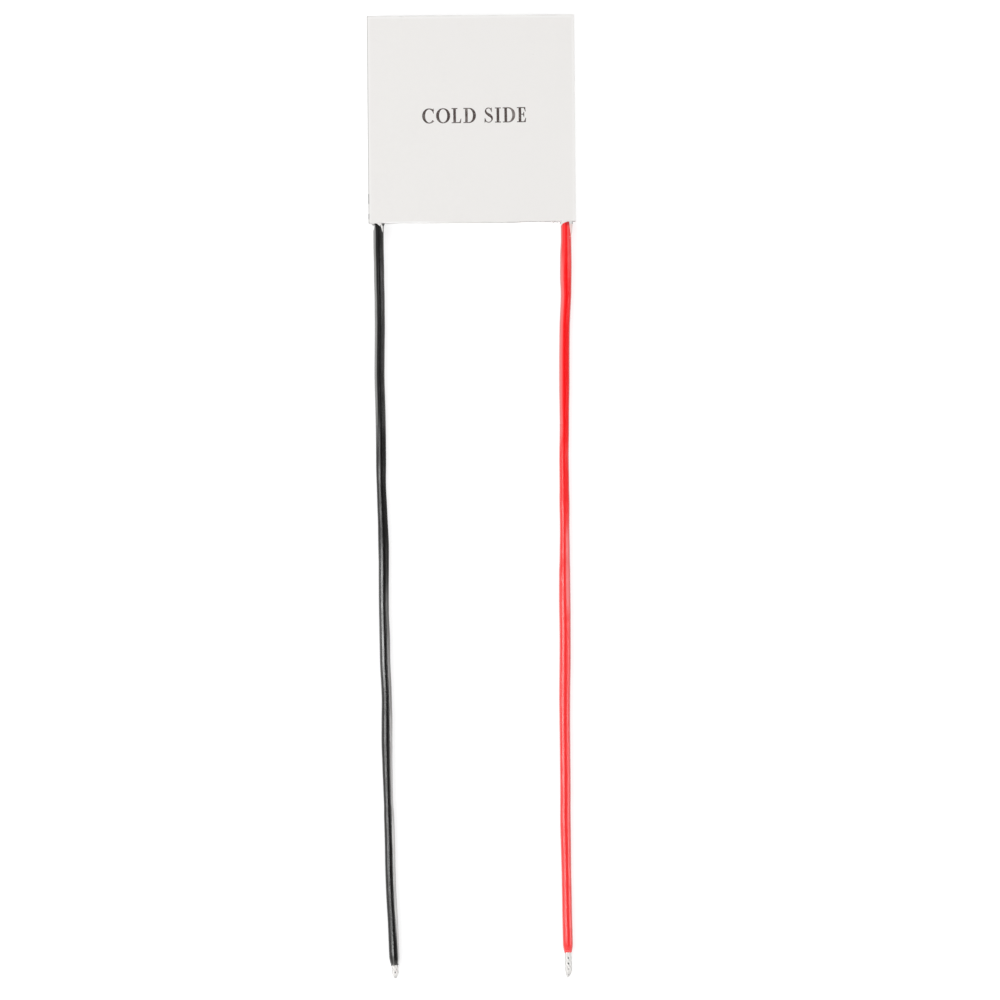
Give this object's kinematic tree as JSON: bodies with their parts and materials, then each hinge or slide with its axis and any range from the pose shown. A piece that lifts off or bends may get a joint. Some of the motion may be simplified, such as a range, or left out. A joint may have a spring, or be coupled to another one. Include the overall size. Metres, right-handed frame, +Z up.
{
  "type": "thermoelectric module",
  "caption": "Flat square thermoelectric module: ceramic plates over a grid of semiconductor legs in series, sealed round the rim, with a black and a red lead.",
  "frame": {"origin": "centre of the hot face, on the surface that the module lies on", "axes": "+Z up out of the marked cold face, -Y the way the leads leave, +X to the red lead's side"},
  "size_m": [0.04, 0.1859, 0.0039],
  "materials": {
    "ceramic": "matte",
    "copper": "satin",
    "p_telluride": "satin",
    "n_telluride": "satin",
    "sealant": "matte",
    "black_insulation": "satin",
    "red_insulation": "satin",
    "tinned_strands": "satin",
    "solder": "satin"
  },
  "bodies": {
    "root": {"hot_plate": "ceramic", "cold_plate": "ceramic", "hot_tabs": "copper", "cold_tabs": "copper", "black_terminal_tab": "copper", "red_terminal_tab": "copper", "p_legs_column_01": "p_telluride", "p_legs_column_02": "p_telluride", "p_legs_column_03": "p_telluride", "p_legs_column_04": "p_telluride", "p_legs_column_05": "p_telluride", "p_legs_column_06": "p_telluride", "p_legs_column_07": "p_telluride", "p_legs_column_08": "p_telluride", "p_legs_column_09": "p_telluride", "p_legs_column_10": "p_telluride", "p_legs_column_11": "p_telluride", "p_legs_column_12": "p_telluride", "p_legs_column_13": "p_telluride", "p_legs_column_14": "p_telluride", "p_legs_column_15": "p_telluride", "p_legs_column_16": "p_telluride", "n_legs_column_01": "n_telluride", "n_legs_column_02": "n_telluride", "n_legs_column_03": "n_telluride", "n_legs_column_04": "n_telluride", "n_legs_column_05": "n_telluride", "n_legs_column_06": "n_telluride", "n_legs_column_07": "n_telluride", "n_legs_column_08": "n_telluride", "n_legs_column_09": "n_telluride", "n_legs_column_10": "n_telluride", "n_legs_column_11": "n_telluride", "n_legs_column_12": "n_telluride", "n_legs_column_13": "n_telluride", "n_legs_column_14": "n_telluride", "n_legs_column_15": "n_telluride", "n_legs_column_16": "n_telluride", "perimeter_seal": "sealant", "black_lead": "black_insulation", "red_lead": "red_insulation", "black_lead_tip": "tinned_strands", "red_lead_tip": "tinned_strands", "black_lead_tail": "tinned_strands", "red_lead_tail": "tinned_strands", "black_terminal_solder": "solder", "red_terminal_solder": "solder"}
  },
  "joints": []
}
